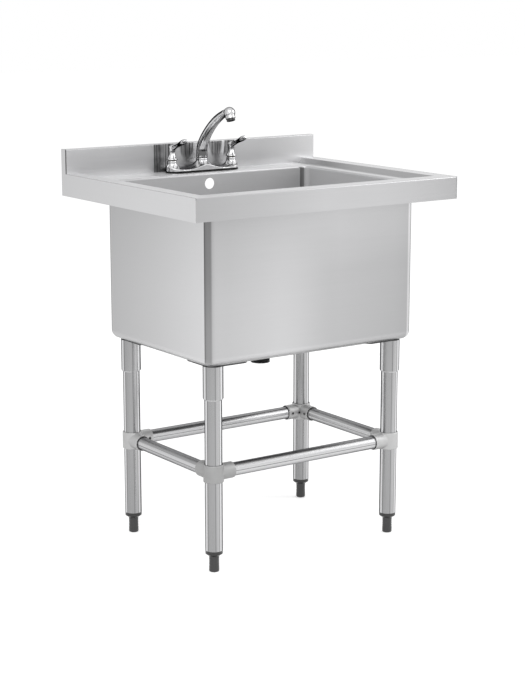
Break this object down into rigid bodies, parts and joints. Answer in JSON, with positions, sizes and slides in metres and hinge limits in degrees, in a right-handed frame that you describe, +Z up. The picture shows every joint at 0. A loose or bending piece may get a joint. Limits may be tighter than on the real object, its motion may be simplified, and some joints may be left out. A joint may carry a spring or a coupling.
{
  "type": "utility sink",
  "caption": "Free-standing deep-bowl stainless steel utility sink on a braced tubular stand, with an upstand and a two-lever deck mixer with a swivel spout.",
  "frame": {"origin": "on the floor under the middle of the worktop, as the centre of the bounding box's base", "axes": "+Z up; +X to the right of someone standing at the front; -Y towards that person"},
  "size_m": [0.75, 0.6, 1.0564],
  "materials": {
    "sheet_steel": "satin brushed stainless sheet",
    "tube_steel": "satin stainless tube",
    "cast_fitting": "fine matte light grey casting",
    "dark_plate": "dark coated steel",
    "grey_plastic": "dark grey moulded plastic",
    "black_plastic": "black moulded plastic",
    "rubber": "black rubber",
    "waste_metal": "polished stainless pressing",
    "dark_steel": "blackened steel screw",
    "chrome": "polished chrome",
    "dark_aerator": "dark plastic insert",
    "zinc_steel": "zinc-plated steel",
    "brass": "plain turned brass",
    "dark_brass": "dull brass valve"
  },
  "bodies": {
    "stand": {"worktop": "sheet_steel", "end_panel_left": "sheet_steel", "end_panel_right": "sheet_steel", "bowl": "sheet_steel", "waste_flange": "waste_metal", "waste_screw": "waste_metal", "waste_upper_seal": "rubber", "waste_lower_gasket": "rubber", "waste_body": "black_plastic", "socket_grub_screws": "dark_steel", "fitting_grub_screws": "dark_steel", "brace_front": "tube_steel", "brace_rear": "tube_steel", "brace_left": "tube_steel", "brace_right": "tube_steel", "tap_base": "chrome", "tap_gasket": "rubber", "spout_grub_screw": "dark_steel", "tap_washers": "zinc_steel", "tap_backnuts": "brass", "valve_hot": "dark_brass", "valve_cold": "dark_brass", "tap_tail_hot": "brass", "tap_tail_cold": "brass", "leg_plate_front_left": "dark_plate", "leg_socket_front_left": "tube_steel", "leg_tube_front_left": "tube_steel", "corner_fitting_front_left": "cast_fitting", "foot_bush_front_left": "grey_plastic", "leg_plate_front_right": "dark_plate", "leg_socket_front_right": "tube_steel", "leg_tube_front_right": "tube_steel", "corner_fitting_front_right": "cast_fitting", "foot_bush_front_right": "grey_plastic", "leg_plate_rear_left": "dark_plate", "leg_socket_rear_left": "tube_steel", "leg_tube_rear_left": "tube_steel", "corner_fitting_rear_left": "cast_fitting", "foot_bush_rear_left": "grey_plastic", "leg_plate_rear_right": "dark_plate", "leg_socket_rear_right": "tube_steel", "leg_tube_rear_right": "tube_steel", "corner_fitting_rear_right": "cast_fitting", "foot_bush_rear_right": "grey_plastic"},
    "spout_arm": {"spout": "chrome", "spout_seal": "rubber", "aerator": "dark_aerator"},
    "handle_hot": {"lever_hot": "chrome", "lever_cap_hot": "chrome", "lever_screw_hot": "zinc_steel", "valve_spindle_hot": "brass"},
    "handle_cold": {"lever_cold": "chrome", "lever_cap_cold": "chrome", "lever_screw_cold": "zinc_steel", "valve_spindle_cold": "brass"},
    "adjuster_front_left": {"foot_front_left": "grey_plastic"},
    "adjuster_front_right": {"foot_front_right": "grey_plastic"},
    "adjuster_rear_left": {"foot_rear_left": "grey_plastic"},
    "adjuster_rear_right": {"foot_rear_right": "grey_plastic"}
  },
  "joints": [
    {"name": "spout_swivel", "type": "hinge", "parent": "stand", "child": "spout_arm", "pos_m": [0, 0.249, 0.922], "axis": [0, 0, 1], "range_deg": [-90, 90]},
    {"name": "handle_turn_hot", "type": "hinge", "parent": "stand", "child": "handle_hot", "pos_m": [-0.089, 0.249, 0.919], "axis": [0, 0, -1], "range_deg": [0, 90]},
    {"name": "handle_turn_cold", "type": "hinge", "parent": "stand", "child": "handle_cold", "pos_m": [0.089, 0.249, 0.919], "axis": [0, 0, 1], "range_deg": [0, 90]},
    {"name": "foot_height_front_left", "type": "slide", "parent": "stand", "child": "adjuster_front_left", "axis": [0, 0, 1], "range_m": [-0.025, 0]},
    {"name": "foot_height_front_right", "type": "slide", "parent": "stand", "child": "adjuster_front_right", "axis": [0, 0, 1], "range_m": [-0.025, 0]},
    {"name": "foot_height_rear_left", "type": "slide", "parent": "stand", "child": "adjuster_rear_left", "axis": [0, 0, 1], "range_m": [-0.025, 0]},
    {"name": "foot_height_rear_right", "type": "slide", "parent": "stand", "child": "adjuster_rear_right", "axis": [0, 0, 1], "range_m": [-0.025, 0]}
  ]
}
